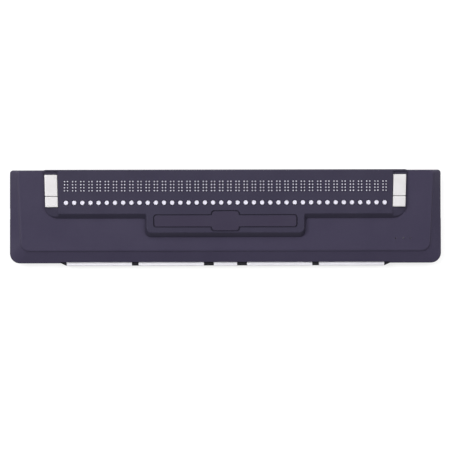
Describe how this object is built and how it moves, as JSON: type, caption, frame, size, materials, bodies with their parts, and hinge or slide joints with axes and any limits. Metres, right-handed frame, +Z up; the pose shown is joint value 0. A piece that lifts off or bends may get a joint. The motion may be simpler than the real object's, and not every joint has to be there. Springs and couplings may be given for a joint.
{
  "type": "refreshable braille display",
  "caption": "Flat desktop braille display with a raised reading panel of eight-dot cells, round routing keys, side keys and front thumb keys.",
  "frame": {"origin": "on the desk, under the middle of the case's outline", "axes": "+X to the reader's right along the line of cells, +Y away from the reader, +Z up"},
  "size_m": [0.34, 0.0756, 0.0205],
  "materials": {
    "indigo_plastic": "fine-grained moulded plastic",
    "panel_plastic": "smooth satin moulded plastic",
    "black_plastic": "fine-grained moulded plastic",
    "white_plastic": "satin moulded plastic",
    "pin_plastic": "polished nylon",
    "cell_plastic": "plain moulded plastic with ceramic reeds",
    "circuit_board": "solder mask over glass-fibre board",
    "battery_wrap": "shrink wrap",
    "foot_rubber": "matt rubber"
  },
  "bodies": {
    "housing": {"top_cover": "indigo_plastic", "base_cover": "black_plastic", "reading_panel": "panel_plastic", "name_plate": "panel_plastic", "braille_cells": "cell_plastic", "circuit_boards": "circuit_board", "battery_pack": "battery_wrap", "rear_foot_strip": "foot_rubber", "front_foot_strip": "foot_rubber"},
    "pins": {"braille_pins": "pin_plastic"},
    "power": {"power_button": "black_plastic"},
    "side_left_rear": {"side_key_left_rear": "white_plastic"},
    "side_left_front": {"side_key_left_front": "white_plastic"},
    "side_right_rear": {"side_key_right_rear": "white_plastic"},
    "side_right_front": {"side_key_right_front": "white_plastic"},
    "thumb_left_outer": {"thumb_key_left_outer": "white_plastic"},
    "thumb_left_inner": {"thumb_key_left_inner": "white_plastic"},
    "thumb_centre": {"thumb_key_centre": "white_plastic"},
    "thumb_right_inner": {"thumb_key_right_inner": "white_plastic"},
    "thumb_right_outer": {"thumb_key_right_outer": "white_plastic"},
    "routing_01": {"routing_key_01": "white_plastic"},
    "routing_02": {"routing_key_02": "white_plastic"},
    "routing_03": {"routing_key_03": "white_plastic"},
    "routing_04": {"routing_key_04": "white_plastic"},
    "routing_05": {"routing_key_05": "white_plastic"},
    "routing_06": {"routing_key_06": "white_plastic"},
    "routing_07": {"routing_key_07": "white_plastic"},
    "routing_08": {"routing_key_08": "white_plastic"},
    "routing_09": {"routing_key_09": "white_plastic"},
    "routing_10": {"routing_key_10": "white_plastic"},
    "routing_11": {"routing_key_11": "white_plastic"},
    "routing_12": {"routing_key_12": "white_plastic"},
    "routing_13": {"routing_key_13": "white_plastic"},
    "routing_14": {"routing_key_14": "white_plastic"},
    "routing_15": {"routing_key_15": "white_plastic"},
    "routing_16": {"routing_key_16": "white_plastic"},
    "routing_17": {"routing_key_17": "white_plastic"},
    "routing_18": {"routing_key_18": "white_plastic"},
    "routing_19": {"routing_key_19": "white_plastic"},
    "routing_20": {"routing_key_20": "white_plastic"},
    "routing_21": {"routing_key_21": "white_plastic"},
    "routing_22": {"routing_key_22": "white_plastic"},
    "routing_23": {"routing_key_23": "white_plastic"},
    "routing_24": {"routing_key_24": "white_plastic"},
    "routing_25": {"routing_key_25": "white_plastic"},
    "routing_26": {"routing_key_26": "white_plastic"},
    "routing_27": {"routing_key_27": "white_plastic"},
    "routing_28": {"routing_key_28": "white_plastic"},
    "routing_29": {"routing_key_29": "white_plastic"},
    "routing_30": {"routing_key_30": "white_plastic"},
    "routing_31": {"routing_key_31": "white_plastic"},
    "routing_32": {"routing_key_32": "white_plastic"},
    "routing_33": {"routing_key_33": "white_plastic"},
    "routing_34": {"routing_key_34": "white_plastic"},
    "routing_35": {"routing_key_35": "white_plastic"},
    "routing_36": {"routing_key_36": "white_plastic"},
    "routing_37": {"routing_key_37": "white_plastic"},
    "routing_38": {"routing_key_38": "white_plastic"},
    "routing_39": {"routing_key_39": "white_plastic"},
    "routing_40": {"routing_key_40": "white_plastic"}
  },
  "joints": [
    {"name": "pins_raise", "type": "slide", "parent": "housing", "child": "pins", "axis": [0, 0, 1], "range_m": [-0.0007, 0], "stiffness_N_per_m": 4000},
    {"name": "power_press", "type": "slide", "parent": "housing", "child": "power", "axis": [1, 0, 0], "range_m": [0, 0.0007], "stiffness_N_per_m": 400},
    {"name": "side_left_rear_press", "type": "slide", "parent": "housing", "child": "side_left_rear", "axis": [0, 0, -1], "range_m": [0, 0.0008], "stiffness_N_per_m": 500},
    {"name": "side_left_front_press", "type": "slide", "parent": "housing", "child": "side_left_front", "axis": [0, 0, -1], "range_m": [0, 0.0008], "stiffness_N_per_m": 500},
    {"name": "side_right_rear_press", "type": "slide", "parent": "housing", "child": "side_right_rear", "axis": [0, 0, -1], "range_m": [0, 0.0008], "stiffness_N_per_m": 500},
    {"name": "side_right_front_press", "type": "slide", "parent": "housing", "child": "side_right_front", "axis": [0, 0, -1], "range_m": [0, 0.0008], "stiffness_N_per_m": 500},
    {"name": "thumb_left_outer_press", "type": "slide", "parent": "housing", "child": "thumb_left_outer", "axis": [0, 1, 0], "range_m": [0, 0.001], "stiffness_N_per_m": 500},
    {"name": "thumb_left_inner_press", "type": "slide", "parent": "housing", "child": "thumb_left_inner", "axis": [0, 1, 0], "range_m": [0, 0.001], "stiffness_N_per_m": 500},
    {"name": "thumb_centre_press", "type": "slide", "parent": "housing", "child": "thumb_centre", "axis": [0, 1, 0], "range_m": [0, 0.001], "stiffness_N_per_m": 500},
    {"name": "thumb_right_inner_press", "type": "slide", "parent": "housing", "child": "thumb_right_inner", "axis": [0, 1, 0], "range_m": [0, 0.001], "stiffness_N_per_m": 500},
    {"name": "thumb_right_outer_press", "type": "slide", "parent": "housing", "child": "thumb_right_outer", "axis": [0, 1, 0], "range_m": [0, 0.001], "stiffness_N_per_m": 500},
    {"name": "routing_01_press", "type": "slide", "parent": "housing", "child": "routing_01", "axis": [0, 0, -1], "range_m": [0, 0.0006], "stiffness_N_per_m": 400},
    {"name": "routing_02_press", "type": "slide", "parent": "housing", "child": "routing_02", "axis": [0, 0, -1], "range_m": [0, 0.0006], "stiffness_N_per_m": 400},
    {"name": "routing_03_press", "type": "slide", "parent": "housing", "child": "routing_03", "axis": [0, 0, -1], "range_m": [0, 0.0006], "stiffness_N_per_m": 400},
    {"name": "routing_04_press", "type": "slide", "parent": "housing", "child": "routing_04", "axis": [0, 0, -1], "range_m": [0, 0.0006], "stiffness_N_per_m": 400},
    {"name": "routing_05_press", "type": "slide", "parent": "housing", "child": "routing_05", "axis": [0, 0, -1], "range_m": [0, 0.0006], "stiffness_N_per_m": 400},
    {"name": "routing_06_press", "type": "slide", "parent": "housing", "child": "routing_06", "axis": [0, 0, -1], "range_m": [0, 0.0006], "stiffness_N_per_m": 400},
    {"name": "routing_07_press", "type": "slide", "parent": "housing", "child": "routing_07", "axis": [0, 0, -1], "range_m": [0, 0.0006], "stiffness_N_per_m": 400},
    {"name": "routing_08_press", "type": "slide", "parent": "housing", "child": "routing_08", "axis": [0, 0, -1], "range_m": [0, 0.0006], "stiffness_N_per_m": 400},
    {"name": "routing_09_press", "type": "slide", "parent": "housing", "child": "routing_09", "axis": [0, 0, -1], "range_m": [0, 0.0006], "stiffness_N_per_m": 400},
    {"name": "routing_10_press", "type": "slide", "parent": "housing", "child": "routing_10", "axis": [0, 0, -1], "range_m": [0, 0.0006], "stiffness_N_per_m": 400},
    {"name": "routing_11_press", "type": "slide", "parent": "housing", "child": "routing_11", "axis": [0, 0, -1], "range_m": [0, 0.0006], "stiffness_N_per_m": 400},
    {"name": "routing_12_press", "type": "slide", "parent": "housing", "child": "routing_12", "axis": [0, 0, -1], "range_m": [0, 0.0006], "stiffness_N_per_m": 400},
    {"name": "routing_13_press", "type": "slide", "parent": "housing", "child": "routing_13", "axis": [0, 0, -1], "range_m": [0, 0.0006], "stiffness_N_per_m": 400},
    {"name": "routing_14_press", "type": "slide", "parent": "housing", "child": "routing_14", "axis": [0, 0, -1], "range_m": [0, 0.0006], "stiffness_N_per_m": 400},
    {"name": "routing_15_press", "type": "slide", "parent": "housing", "child": "routing_15", "axis": [0, 0, -1], "range_m": [0, 0.0006], "stiffness_N_per_m": 400},
    {"name": "routing_16_press", "type": "slide", "parent": "housing", "child": "routing_16", "axis": [0, 0, -1], "range_m": [0, 0.0006], "stiffness_N_per_m": 400},
    {"name": "routing_17_press", "type": "slide", "parent": "housing", "child": "routing_17", "axis": [0, 0, -1], "range_m": [0, 0.0006], "stiffness_N_per_m": 400},
    {"name": "routing_18_press", "type": "slide", "parent": "housing", "child": "routing_18", "axis": [0, 0, -1], "range_m": [0, 0.0006], "stiffness_N_per_m": 400},
    {"name": "routing_19_press", "type": "slide", "parent": "housing", "child": "routing_19", "axis": [0, 0, -1], "range_m": [0, 0.0006], "stiffness_N_per_m": 400},
    {"name": "routing_20_press", "type": "slide", "parent": "housing", "child": "routing_20", "axis": [0, 0, -1], "range_m": [0, 0.0006], "stiffness_N_per_m": 400},
    {"name": "routing_21_press", "type": "slide", "parent": "housing", "child": "routing_21", "axis": [0, 0, -1], "range_m": [0, 0.0006], "stiffness_N_per_m": 400},
    {"name": "routing_22_press", "type": "slide", "parent": "housing", "child": "routing_22", "axis": [0, 0, -1], "range_m": [0, 0.0006], "stiffness_N_per_m": 400},
    {"name": "routing_23_press", "type": "slide", "parent": "housing", "child": "routing_23", "axis": [0, 0, -1], "range_m": [0, 0.0006], "stiffness_N_per_m": 400},
    {"name": "routing_24_press", "type": "slide", "parent": "housing", "child": "routing_24", "axis": [0, 0, -1], "range_m": [0, 0.0006], "stiffness_N_per_m": 400},
    {"name": "routing_25_press", "type": "slide", "parent": "housing", "child": "routing_25", "axis": [0, 0, -1], "range_m": [0, 0.0006], "stiffness_N_per_m": 400},
    {"name": "routing_26_press", "type": "slide", "parent": "housing", "child": "routing_26", "axis": [0, 0, -1], "range_m": [0, 0.0006], "stiffness_N_per_m": 400},
    {"name": "routing_27_press", "type": "slide", "parent": "housing", "child": "routing_27", "axis": [0, 0, -1], "range_m": [0, 0.0006], "stiffness_N_per_m": 400},
    {"name": "routing_28_press", "type": "slide", "parent": "housing", "child": "routing_28", "axis": [0, 0, -1], "range_m": [0, 0.0006], "stiffness_N_per_m": 400},
    {"name": "routing_29_press", "type": "slide", "parent": "housing", "child": "routing_29", "axis": [0, 0, -1], "range_m": [0, 0.0006], "stiffness_N_per_m": 400},
    {"name": "routing_30_press", "type": "slide", "parent": "housing", "child": "routing_30", "axis": [0, 0, -1], "range_m": [0, 0.0006], "stiffness_N_per_m": 400},
    {"name": "routing_31_press", "type": "slide", "parent": "housing", "child": "routing_31", "axis": [0, 0, -1], "range_m": [0, 0.0006], "stiffness_N_per_m": 400},
    {"name": "routing_32_press", "type": "slide", "parent": "housing", "child": "routing_32", "axis": [0, 0, -1], "range_m": [0, 0.0006], "stiffness_N_per_m": 400},
    {"name": "routing_33_press", "type": "slide", "parent": "housing", "child": "routing_33", "axis": [0, 0, -1], "range_m": [0, 0.0006], "stiffness_N_per_m": 400},
    {"name": "routing_34_press", "type": "slide", "parent": "housing", "child": "routing_34", "axis": [0, 0, -1], "range_m": [0, 0.0006], "stiffness_N_per_m": 400},
    {"name": "routing_35_press", "type": "slide", "parent": "housing", "child": "routing_35", "axis": [0, 0, -1], "range_m": [0, 0.0006], "stiffness_N_per_m": 400},
    {"name": "routing_36_press", "type": "slide", "parent": "housing", "child": "routing_36", "axis": [0, 0, -1], "range_m": [0, 0.0006], "stiffness_N_per_m": 400},
    {"name": "routing_37_press", "type": "slide", "parent": "housing", "child": "routing_37", "axis": [0, 0, -1], "range_m": [0, 0.0006], "stiffness_N_per_m": 400},
    {"name": "routing_38_press", "type": "slide", "parent": "housing", "child": "routing_38", "axis": [0, 0, -1], "range_m": [0, 0.0006], "stiffness_N_per_m": 400},
    {"name": "routing_39_press", "type": "slide", "parent": "housing", "child": "routing_39", "axis": [0, 0, -1], "range_m": [0, 0.0006], "stiffness_N_per_m": 400},
    {"name": "routing_40_press", "type": "slide", "parent": "housing", "child": "routing_40", "axis": [0, 0, -1], "range_m": [0, 0.0006], "stiffness_N_per_m": 400}
  ]
}
